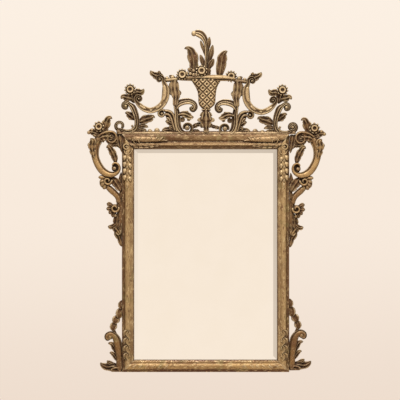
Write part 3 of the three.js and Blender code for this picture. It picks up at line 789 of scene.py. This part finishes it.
def ear_rosette():
    petals = [
        [(115, 207.6, 1.6), (110, 204.6, 2.1), (106.6, 203.6, 1.3)],
        [(115, 208.6, 1.6), (109.6, 208.6, 2), (106.2, 209, 1.2)],
        [(115, 209.4, 1.6), (111, 212, 2.2), (108.8, 213.8, 1.2)],
        [(116, 209.4, 1.6), (113.6, 214.4, 2.2), (112.4, 217.4, 1.2)],
    ]
    long_leaf = [
        (118, 212, 2.6), (117, 219, 3.8), (116.8, 225, 4.4), (117.6, 231, 4.2), (119.4, 237.6, 2.9),
        (121.6, 246.6, 1),
    ]
    return [
        band(curl((114.9, 208.2), (118.8, 206.6), 1.15, 1.2, (1.4, 0.8)), [FLOWER_DEPTH]),
        boss((114.9, 208.2), 4.2, SCROLL_DEPTH * 0.8),
        [leaf(line, 1, notch=0.1) for line in petals],
        leaf([(118, 208, 2), (119, 203, 2.4), (116.4, 199, 1.2)], 2),
        boss((115.4, 215.4), 1.7),
        leaf(long_leaf, 4),
        leaf([(117, 223, 1.8), (111.8, 226.8, 2.3), (107.8, 226.4, 1.3)], 2),
        leaf([(119.6, 215, 1.8), (119.2, 222, 2.1), (120.6, 232, 1.2)], 3, SCROLL_DEPTH * 0.95),
        leaf([(115, 227.4, 1.5), (117.6, 230.8, 2.6), (120.2, 234.8, 1.3)], 1, SCROLL_DEPTH * 1.1, 0.1, 0.97),
        band([(121, 198, 1.8), (120.6, 206, 2.4), (120.2, 214, 2.6), (120.6, 224, 2.2), (121.4, 236, 1.2)],
             [LEAF_DEPTH * 0.8]),
    ]


EAR_GROUPS = [(ear_scroll, 1.1, 0.7), (ear_spray, 2, 1.6), (ear_shell, 0.7, 0.7), (ear_rosette, 0.2, 0.9)]


def foot_parts():
    husks = [
        [(121.4, 300.6, 2.2), (121, 305, 3.1), (121.2, 309.4, 2.6)],
        [(121.4, 307.4, 2.8), (119.8, 313, 4.2), (118.8, 318.6, 3.6)],
        [(119, 315.6, 2.6), (116.2, 319.4, 4), (113.8, 324, 3.3)],
        [(115.6, 322, 2.6), (113.4, 326.4, 3.7), (112.8, 331.2, 3)],
    ]
    spine = [
        (109.8, 339.8, 1.6), (106.7, 338.6, 2), (106.7, 335.4, 2.1), (110.2, 333.7, 2.4), (114.2, 335.8, 3.2),
        (116.8, 340, 3.9), (118.2, 346, 4), (119, 352, 3.7), (119.5, 358, 3.4), (119.8, 364, 3.8),
        (120, 371, 4.2),
    ]
    side_leaves = [
        [(117, 355, 1.8), (114.6, 348, 2.9), (111.8, 344, 1.8), (108, 343.2, 0.8)],
        [(118.4, 362, 2), (115, 356.4, 2.3), (112, 353.2, 1.6), (109.4, 353, 0.8)],
    ]
    return [
        [band(line, [LEAF_DEPTH * 0.75, LEAF_DEPTH, LEAF_DEPTH * 1.08], HOLLOW) for line in husks],
        band([(113, 329, 1.6), (114.6, 333, 1.5), (117.6, 338, 1.4)], [LEAF_DEPTH * 0.8]),
        band(spine, shape=SMOOTH),
        eye((109.9, 337.1), 2.8, 2.3),
        [leaf(line, 2, notch=0.15) for line in side_leaves],
        leaf([(120.4, 367, 2.8), (113, 366.6, 4), (107, 367, 3.4), (103, 365.4, 2.2), (100.2, 362.8, 0.9)],
             2, notch=0.12),
        leaf([(114.4, 364.4, 1.9), (110, 363, 1.8), (106.8, 360.8, 0.9)], 1, notch=0.1),
        band([(110.4, 370.4, 1), (113, 368.4, 1.1), (116, 367.7, 1.1), (119.6, 368.2, 1.1)]),
        band([(110, 370.6, 1.8), (123, 370.6, 2)], [LEAF_DEPTH * 0.7]),
    ]


FOOT_GROUPS = [(foot_parts, 0.1, -1.7)]


def beside_stile(name, groups, side, bottom):
    """Carving on the outside of a stile, from a bottom height up"""
    shells = [group() if side < 0 else right_hand(group(), *stray) for group, *stray in groups]
    edge = FRAME_WIDTH / 2 + GAP
    low, high = (-1, -edge) if side < 0 else (edge, 1)
    return carving(name, shells, (low, -1, bottom), (high, 0, 1))


# Rails

# Outline of a moulding: share of the rail's width from its outer edge, share of its depth.
# Stiles and bottom rail: a low cove, a broad tooled torus and an inner fillet
SIDE_MOULDING = section([
    (0, 0.02), (0, 0.3), (0, 0.5), (0.04, 0.58), (0.1, 0.58), (0.17, 0.6), (0.22, 0.68), (0.26, 0.82),
    (0.3, 0.91), (0.36, 0.96), (0.44, 0.99), (0.52, 1), (0.6, 0.98), (0.66, 0.93), (0.71, 0.86), (0.76, 0.83),
    (0.81, 0.83), (0.86, 0.84), (0.91, 0.82), (0.94, 0.77), (0.97, 0.68), (1, 0.5),
], 84)
# Top rail: a flat swelling, a groove, and a bead near the glass
TOP_MOULDING = section([
    (0, 0.02), (0, 0.3), (0, 0.64), (0.03, 0.74), (0.08, 0.79), (0.18, 0.82), (0.28, 0.82), (0.38, 0.79),
    (0.45, 0.73), (0.49, 0.66), (0.53, 0.7), (0.58, 0.76), (0.62, 0.86), (0.66, 0.97), (0.7, 1), (0.74, 0.97),
    (0.79, 0.82), (0.84, 0.7), (0.9, 0.7), (0.95, 0.67), (1, 0.5),
], 84)
# Uneven tooling of a rail: its height, the depth it sets in over, and its waves' radians a metre along and
# across the rail, and their starts
TOOLING, TOOLING_RISE = 0.00028, 0.010
TOOLING_WAVES = [(61, 90, 0), (143, -50, 2)]
RAIL_STEPS = 150


def rail(moulding, width, length, start_width, end_width, to_frame):
    """Moulded rail with mitred ends. to_frame takes distances in from the outer edge, out from the wall
    and along the rail from its middle."""
    front = moulding * [width, RAIL_DEPTH]
    back = [(width, REBATE_DEPTH), (width - REBATE_WIDTH, REBATE_DEPTH), (width - REBATE_WIDTH, 0), (0, 0)]
    outline = np.vstack([front, back])
    inward, depth = outline[:, 0], outline[:, 1]
    share = np.linspace(0, 1, RAIL_STEPS)[:, None]
    reach = [length / 2 - GAP / 2 - inward * neighbour / width for neighbour in (start_width, end_width)]
    distance = -reach[0] * (1 - share) + reach[1] * share
    tooled = np.clip((depth - REBATE_DEPTH) / TOOLING_RISE, 0, 1)
    waves = sum(np.sin(far * distance + across * inward + start) for far, across, start in TOOLING_WAVES)
    return ring_shell(to_frame(inward + 0 * share, depth + tooled * (TOOLING * waves), distance))


def horizontal_rail(moulding, width, edge, inward_sign):
    def to_frame(inward, depth, distance):
        return np.stack([distance, -depth, edge + inward_sign * inward], -1)

    return rail(moulding, width, FRAME_WIDTH, STILE_WIDTH, STILE_WIDTH, to_frame)


def upright_rail(side):
    def to_frame(inward, depth, distance):
        height = (FRAME_TOP + FRAME_BOTTOM) / 2 + distance
        return np.stack([side * (FRAME_WIDTH / 2 - inward), -depth, height], -1)

    return rail(SIDE_MOULDING, STILE_WIDTH, FRAME_HEIGHT, BOTTOM_RAIL_WIDTH, TOP_RAIL_WIDTH, to_frame)


# Husks on a stile: their middle line, and how far the two of a pair are out of step
STRIP_MIDDLE, HUSK_STAGGER = 127.4, 0.7

# Thickness of the leaves of the strips, and how far a stile's strip stands out
HUSK_THICKNESS, BEAD_LEAF_THICKNESS = 0.018, 0.016
STILE_STRIP_DEPTH = 0.0405


def strip_pad(spine, depth=STRIP_DEPTH):
    return band(spine, [depth * 0.9, depth, depth * 0.96])


def stile_strip():
    """Flower and paired husks down the top of a stile, and a chain of husks up its lower end"""
    collar = [
        (124, 149.6, 0.8), (125.4, 153.2, 1.1), (128, 154.4, 1.1), (130.6, 153.2, 1.1), (131.6, 150, 0.8),
    ]
    parts = [
        band(curl((126.4, 146.8), (129, 146.8), 1, 2.6, (1.2, 1.2)), [STRIP_DEPTH * 1.02]),
        boss((126.4, 146.8), 1.3, STRIP_DEPTH),
        strip_pad(collar),
        strip_pad([(127.2, 181, 1.6), (127.4, 185, 1.8), (127.6, 189, 0.9)]),
    ]
    for start in (155, 161.6, 168.2, 174.8):
        for sign in (-1, 1):
            top = start + HUSK_STAGGER * sign
            husk = [(0.9, 0, 1.7), (2.3, 3, 2.7), (3.2, 6.8, 1.1)]
            spine = [(STRIP_MIDDLE + sign * aside, top + down, half) for aside, down, half in husk]
            parts.append(strip_pad(spine, STILE_STRIP_DEPTH))
        bud = [(STRIP_MIDDLE, start + down, half) for down, half in [(3.6, 0.9), (6.4, 1.3), (7.8, 0.9)]]
        parts.append(strip_pad(bud, STILE_STRIP_DEPTH * 1.03))
    for start in (361, 353.4, 345.8, 338.2):
        husk = [(129.2, start, 2.2), (126.8, start - 3.8, 3.3), (128.6, start - 8.6, 1.3)]
        parts.append(leaf(husk, 1, STILE_STRIP_DEPTH, 0.1, 0.94, HUSK_THICKNESS))
    return parts


def top_strip():
    """Gadrooned swelling along the rail, with smaller leaves on the bead under it"""
    swelling = [(131, 138.4, 3), (140, 139.2, 4), (150, 139.4, 3.7), (160, 139.8, 2.6), (168, 140.8, 1)]
    swelling_depths = [STRIP_DEPTH * 0.96, STRIP_DEPTH * 0.96, STRIP_DEPTH * 0.92, RAIL_DEPTH * 0.82]
    slants = [131.6 + 5.4 * k for k in range(6)]
    bead_leaf = [(131, 145.6, 1.6), (140, 145.6, 2.2), (150, 145.4, 2), (160, 145, 0.8)]
    curled = [(139.6, 143.4, 1.1), *curl((136, 142), (138.4, 140.2), -0.8, 1.2, (1.1, 0.6))]
    return [
        band(swelling, swelling_depths),
        [strip_pad([(u, 141.6, 0.9), (u + 2.2, 139.2, 1.5), (u + 4.8, 136.8, 0.9)]) for u in slants],
        leaf(bead_leaf, 5, STRIP_DEPTH * 0.98, 0.3, 0.94, BEAD_LEAF_THICKNESS),
        band(curled, [STRIP_DEPTH]),
    ]


def bottom_strip():
    """Slanting leaves along the torus near the corner"""
    starts = [131 + 6.4 * k for k in range(6)]
    return [strip_pad([(u, 368.8, 0.9), (u + 2.6, 366.6, 2.2), (u + 6, 364.2, 1.2)]) for u in starts]


# Materials

class Shader:
    """Node tree of a material or world, with short ways to add nodes and join them"""

    def __init__(self, owner):
        owner.use_nodes = True
        self.owner = owner
        self.tree = owner.node_tree
        self.tree.nodes.clear()

    def add(self, kind, inputs=None, **settings):
        node = self.tree.nodes.new("ShaderNode" + kind)
        for name, value in settings.items():
            setattr(node, name, value)
        for name, value in (inputs or {}).items():
            self.put(node.inputs[name], value)
        return node

    def put(self, socket, value):
        if isinstance(value, bpy.types.NodeSocket):
            self.tree.links.new(value, socket)
        else:
            socket.default_value = value

    def noise(self, place, scale, detail=4, roughness=0.55):
        node = self.add("TexNoise", {
            "Vector": place, "Scale": scale, "Detail": detail, "Roughness": roughness,
        })
        return node.outputs["Fac"]

    def math(self, operation, *values, clamp=False):
        node = self.add("Math", operation=operation, use_clamp=clamp)
        for socket, value in zip(node.inputs, values):
            self.put(socket, value)
        return node.outputs[0]

    def ramp(self, value, low, high, to_low=0.0, to_high=1.0):
        node = self.add("MapRange", {
            "Value": value, "From Min": low, "From Max": high, "To Min": to_low, "To Max": to_high,
        }, interpolation_type="SMOOTHSTEP")
        return node.outputs[0]

    def blend(self, share, one, other):
        node = self.add("Mix", data_type="RGBA")
        self.put(node.inputs[0], share)
        self.put(node.inputs[6], one)
        self.put(node.inputs[7], other)
        return node.outputs[2]

    def bumped(self, height, strength, distance):
        node = self.add("Bump", {"Height": height, "Strength": strength, "Distance": distance})
        return node.outputs[0]

    def stretched(self, place, scale):
        return self.add("Mapping", {"Vector": place, "Scale": scale}).outputs[0]

    def finished(self, inputs):
        """The material, with a surface of these inputs"""
        surface = self.add("BsdfPrincipled", inputs)
        self.add("OutputMaterial", {"Surface": surface.outputs[0]})
        return self.owner


def new_material(name):
    """Node tree of a new material, and the place on the object that it is read at"""
    tree = Shader(bpy.data.materials.new(name))
    return tree, tree.add("TexCoord").outputs["Object"]


def colour(red, green, blue):
    """Linear colour from display values of 0 to 255"""
    def linear(value):
        value /= 255
        return value / 12.92 if value <= 0.04045 else ((value + 0.055) / 1.055) ** 2.4
    return (linear(red), linear(green), linear(blue), 1)


# Tones of the old gilding, with a pale tone for worn edges and painted highlight, and a dark one for grime
# and painted shade
BROWN_VARNISH = colour(104, 74, 42)
RED_DRIFT = colour(120, 72, 42)
OLIVE_DRIFT = colour(138, 126, 80)
PALE_FLECK = colour(214, 188, 142)
RUBBED_EDGE_AND_HIGHLIGHT = colour(226, 206, 168)
RED_CLAY = colour(104, 58, 36)
GRIME_AND_SHADE = colour(54, 32, 16)
DARK_SPOT = colour(48, 30, 16)
WOOD_DARK = colour(104, 76, 48)
WOOD_PALE = colour(150, 116, 78)

# How far round a place its hollow is felt for its grime and painted shade, and the depths where the gilding
# starts to end and is gone
HOLLOW_REACH = 0.012
BARE_DEPTHS = (0.007, 0.0035)


def gilding(name, dull_and_shaded, bright_and_highlit, set_back, stand_out, wear=0.35, stretch=(1, 1, 1)):
    """Old silver gilding under varnish: darker, as painted shade, where it is set back and paler, as painted
    highlight, where it stands out; worn and painted paler with highlight on its edges; darkened in its
    hollows by grime and painted shade; with red clay, and bare wood near the wall. Wear is how far it is
    flecked, stretch how it is drawn out."""
    tree, place = new_material(name)
    noise, ramp, blend = tree.noise, tree.ramp, tree.blend
    drawn = tree.stretched(place, stretch)
    depth = tree.math("MULTIPLY", tree.add("SeparateXYZ", {"Vector": place}).outputs["Y"], -1)

    broad = noise(drawn, 13, 3)
    patch = noise(drawn, 60, 5, 0.6)
    speck = noise(drawn, 240, 4, 0.65)
    open_sky = tree.add("AmbientOcclusion", {"Distance": HOLLOW_REACH}, samples=8).outputs["AO"]
    edge = tree.add("NewGeometry").outputs["Pointiness"]

    # Set-back places take the darker tone as painted shade and standing-out places the paler tone as painted
    # highlight, drifting at random
    drift = ramp(broad, 0.35, 0.65, -0.3, 0.3)
    standing = tree.math("ADD", ramp(depth, set_back, stand_out), drift, clamp=True)
    metal = blend(standing, colour(*dull_and_shaded), colour(*bright_and_highlit))
    metal = blend(ramp(patch, 0.5, 0.72, 0, 0.6), metal, BROWN_VARNISH)
    metal = blend(ramp(noise(place, 17, 3), 0.54, 0.72, 0, 0.3), metal, RED_DRIFT)
    metal = blend(ramp(noise(place, 26, 3), 0.54, 0.72, 0, 0.5), metal, OLIVE_DRIFT)
    metal = blend(ramp(noise(drawn, 150, 3, 0.6), 0.53, 0.66, 0, wear), metal, PALE_FLECK)
    # Convex edges are made paler: partly worn gilding, partly painted highlight
    rub_and_highlight_share = ramp(patch, 0.3, 0.6, 0.2, 0.8)
    rubbed_and_highlit = tree.math("MULTIPLY", ramp(edge, 0.505, 0.58), rub_and_highlight_share, clamp=True)
    metal = blend(rubbed_and_highlit, metal, RUBBED_EDGE_AND_HIGHLIGHT)
    clay = tree.math("MULTIPLY", ramp(speck, 0.54, 0.66), ramp(patch, 0.42, 0.62), clamp=True)
    metal = blend(clay, metal, RED_CLAY)
    # Hollows, and places shut in by nearby carving, are darkened: partly grime, partly painted shade
    hollow = ramp(edge, 0.488, 0.44, 0, 0.6)
    sunk = tree.math("ADD", ramp(open_sky, 0.88, 0.48), hollow, clamp=True)
    grimed_and_shaded = blend(tree.math("MULTIPLY", sunk, 0.92), metal, GRIME_AND_SHADE)
    grimed_and_shaded = blend(ramp(speck, 0.63, 0.72, 0, 0.8), grimed_and_shaded, DARK_SPOT)

    bare = ramp(depth, *BARE_DEPTHS)
    wood = blend(noise(tree.stretched(place, (60, 1, 6)), 12, 6), WOOD_DARK, WOOD_PALE)

    worn = tree.math("ADD", tree.math("ADD", clay, sunk), bare, clamp=True)
    satin = ramp(patch, 0.3, 0.7, 0.42, 0.58)
    bump = tree.math("ADD", tree.math("MULTIPLY", speck, 0.5), patch)
    return tree.finished({
        "Base Color": blend(bare, grimed_and_shaded, wood),
        "Roughness": tree.math("ADD", satin, tree.math("MULTIPLY", worn, 0.3), clamp=True),
        "Metallic": tree.math("SUBTRACT", 0.4, tree.math("MULTIPLY", worn, 0.4), clamp=True),
        "Normal": tree.bumped(bump, 0.6, 0.0014),
    })


def mirror_glass():
    """Silvered plate with a breath of haze"""
    tree, place = new_material("mirror_glass")
    haze = tree.ramp(tree.noise(place, 30, 4), 0.45, 0.8, 0.015, 0.06)
    tint = tree.blend(tree.noise(place, 9, 2), colour(254, 253, 251), colour(251, 249, 244))
    return tree.finished({"Base Color": tint, "Roughness": haze, "Metallic": 1.0})


def old_board():
    """Plain softwood with upright grain and stains"""
    tree, place = new_material("old_board")
    grain = tree.noise(tree.stretched(place, (9, 1, 0.7)), 14, 8, 0.6)
    tone = tree.blend(tree.ramp(grain, 0.35, 0.65), colour(96, 68, 42), colour(146, 110, 74))
    tone = tree.blend(tree.ramp(tree.noise(place, 5, 3), 0.5, 0.8, 0, 0.5), tone, colour(70, 50, 32))
    return tree.finished({"Base Color": tone, "Roughness": 0.85, "Normal": tree.bumped(grain, 0.4, 0.001)})


def put_material(piece, material):
    piece.data.materials.clear()
    piece.data.materials.append(material)


SHARP_ANGLE = 38


def finish_piece(piece, node, material):
    """Gives a piece its material and smooth shading, and lets it stand for its node"""
    put_material(piece, material)
    piece.data.shade_smooth()
    piece.data.set_sharp_from_angle(angle=math.radians(SHARP_ANGLE))
    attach(piece, "root")
    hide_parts(node)


# Each piece's gilding has a darker tone, painted shade where it is set back, and a paler tone, painted
# highlight where it stands out
crest_gilt = gilding("crest_gilt", (98, 70, 40), (202, 175, 133), 0.0225, 0.0325)
ear_gilt = gilding("ear_gilt", (124, 88, 50), (184, 149, 98), 0.0215, 0.032)
foot_gilt = gilding("foot_gilt", (96, 64, 34), (142, 104, 60), 0.020, 0.032)
top_gilt = gilding("top_gilt", (106, 76, 48), (168, 136, 94), 0.026, 0.036, 0.5, (0.4, 1, 1))
bottom_gilt = gilding("bottom_gilt", (100, 62, 36), (184, 150, 100), 0.025, 0.034, 0.8, (0.4, 1, 1))
upright_gilt = gilding("upright_gilt", (112, 80, 50), (190, 160, 114), 0.023, 0.036, 0.8, (1, 1, 0.4))

finish_piece(crest(), "crest", crest_gilt)
for kind, groups, bottom, gilt in [
    ("ear", EAR_GROUPS, -1, ear_gilt),
    ("foot", FOOT_GROUPS, FRAME_BOTTOM, foot_gilt),
]:
    for hand, side in [("left", -1), ("right", 1)]:
        node = f"{hand}_{kind}"
        finish_piece(beside_stile(f"{node}_carving", groups, side, bottom), node, gilt)

top_rail = horizontal_rail(TOP_MOULDING, TOP_RAIL_WIDTH, FRAME_TOP, -1)
bottom_rail = horizontal_rail(SIDE_MOULDING, BOTTOM_RAIL_WIDTH, FRAME_BOTTOM, 1)
for node, parts, gilt in [
    ("top_rail", [top_rail, top_strip(), right_hand(top_strip())], top_gilt),
    ("bottom_rail", [bottom_rail, bottom_strip(), right_hand(bottom_strip())], bottom_gilt),
    ("left_stile", [upright_rail(-1), stile_strip()], upright_gilt),
    ("right_stile", [upright_rail(1), right_hand(stile_strip())], upright_gilt),
]:
    finish_piece(carving(f"{node}_carving", parts), node, gilt)

for node, material in [("mirror_plate", mirror_glass()), ("back_board", old_board())]:
    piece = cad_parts[node]
    put_material(piece, material)

# Studio

scene.view_settings.view_transform = "Standard"

# What the camera sees behind the object: a plain pale wall, a little darker towards the floor
world = bpy.data.worlds.new("studio")
scene.world = world
sky = Shader(world)
direction = sky.add("TexCoord").outputs["Generated"]
up = sky.add("SeparateXYZ", {"Vector": direction}).outputs["Z"]
backdrop = sky.blend(sky.ramp(up, -0.15, 0.0), colour(238, 221, 206), colour(248, 234, 220))
backdrop = sky.blend(sky.ramp(up, 0.0, 0.15), backdrop, colour(252, 240, 227))

# What lights the object: a soft white room, brightest straight ahead of the glass and overhead
offset = sky.add("Mapping", {"Vector": direction, "Location": (0.03, 0, 0.09), "Scale": (1, 0, 0.76)})
aside = sky.add("VectorMath", {0: offset.outputs[0]}, operation="LENGTH").outputs["Value"]
in_front = sky.ramp(sky.add("SeparateXYZ", {"Vector": direction}).outputs["Y"], -0.2, -0.7)
glow = sky.math("MULTIPLY", sky.ramp(aside, 0.6, 0.2, 0, 0.5), in_front)
room = sky.blend(glow, colour(130, 112, 92), colour(250, 236, 220))
room = sky.blend(sky.math("MULTIPLY", sky.ramp(aside, 0.27, 0.14), in_front), room, colour(250, 236, 220))
room = sky.blend(sky.ramp(up, 0.2, 0.9), room, colour(250, 242, 232))
seen = sky.add("LightPath").outputs["Is Camera Ray"]
light = sky.add("Background", {"Color": sky.blend(seen, room, backdrop), "Strength": 1.0})
sky.add("OutputWorld", {"Surface": light.outputs[0]})


def soft_light(name, place, target, size, watts):
    lamp = bpy.data.lights.new(name, "AREA")
    lamp.size = size
    lamp.energy = watts
    lamp.color = (1, 0.97, 0.92)
    made = bpy.data.objects.new(name, lamp)
    made.location = place
    made.rotation_euler = (Vector(target) - Vector(place)).to_track_quat("-Z", "Y").to_euler()
    scene.collection.objects.link(made)


soft_light("key", (-0.25, -1.8, 2.4), (0, 0, -0.2), 1.1, 84)
soft_light("fill", (2.0, -2.6, 0.6), (0, 0, -0.3), 1.6, 14)

FLOOR_HEIGHT, FLOOR_RADIUS, FLOOR_SIDES = -1.9, 3.0, 96
bpy.ops.mesh.primitive_circle_add(
    vertices=FLOOR_SIDES, radius=FLOOR_RADIUS, fill_type="NGON", location=(0, 0, FLOOR_HEIGHT),
)
floor = bpy.context.active_object
floor.name = "floor"
ground = Shader(bpy.data.materials.new("pale_floor"))
floor.data.materials.append(ground.finished({"Base Color": colour(232, 222, 208), "Roughness": 0.8}))

# Camera: straight on, at the height of the object's middle. The picture is 400 squares across.
PICTURE_SQUARES = 400
CAMERA_DISTANCE = 6.0
MIDDLE_DEPTH = 0.025
SENSOR = 36
camera = bpy.data.objects.new("camera", bpy.data.cameras.new("camera"))
camera.data.sensor_width = SENSOR
camera.data.lens = SENSOR * (CAMERA_DISTANCE - MIDDLE_DEPTH) / (PICTURE_SQUARES * SQUARE)
across = (PICTURE_SQUARES / 2 - SHEET_MIDDLE) * SQUARE
height = (SHEET_MOUNT - PICTURE_SQUARES / 2) * SQUARE
camera.location = (across, -CAMERA_DISTANCE, height)
camera.rotation_euler = (math.radians(90), 0, 0)
scene.collection.objects.link(camera)
scene.camera = camera
